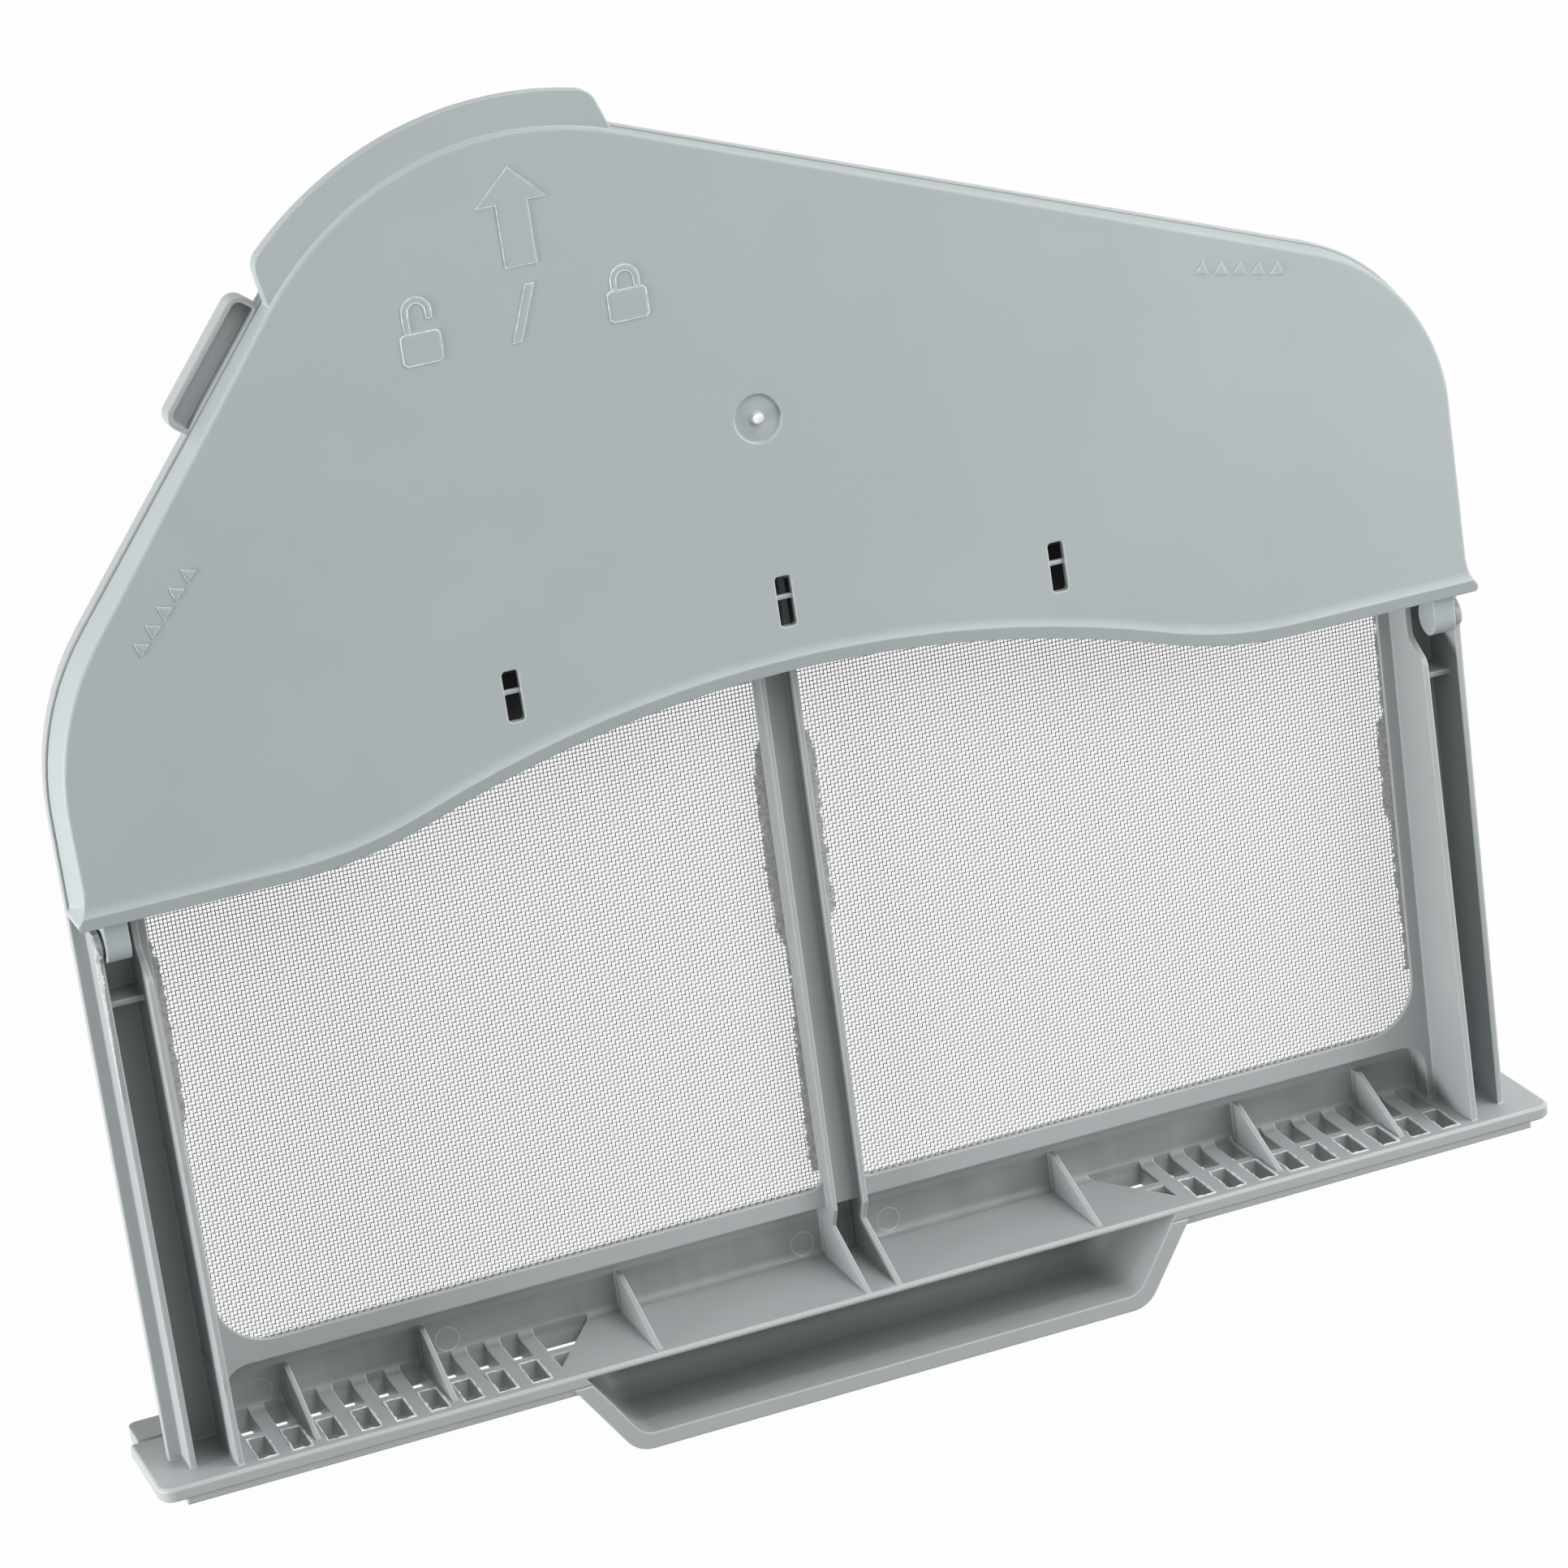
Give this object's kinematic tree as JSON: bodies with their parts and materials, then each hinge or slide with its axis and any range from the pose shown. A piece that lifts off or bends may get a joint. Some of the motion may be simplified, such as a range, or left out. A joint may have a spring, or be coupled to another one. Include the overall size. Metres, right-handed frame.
{
  "type": "tumble dryer lint filter",
  "caption": "Flat lint filter for a tumble dryer: a flanged plastic frame with woven screens, a finger handle, and a hinged wedge-shaped cover over its upper half.",
  "frame": {"origin": "middle of the box, on the plane that the rear edge of the flange touches", "axes": "+X along the flange, +Y up the screen away from the flange, +Z out of the front of the screen"},
  "size_m": [0.33, 0.295, 0.0376],
  "materials": {
    "frame_plastic": "grey moulded plastic with a fine satin surface",
    "cover_plastic": "pale grey moulded plastic with a fine satin surface",
    "screen_weave": "fine plain-woven grey synthetic screen"
  },
  "bodies": {
    "frame": {"frame": "frame_plastic", "mesh_left": "screen_weave", "mesh_right": "screen_weave"},
    "cover": {"cover": "cover_plastic"}
  },
  "joints": [
    {"name": "cover_hinge", "type": "hinge", "parent": "frame", "child": "cover", "pos_m": [0, -0.00763, 0.0287], "axis": [1, 0, 0], "range_deg": [0, 100]}
  ]
}
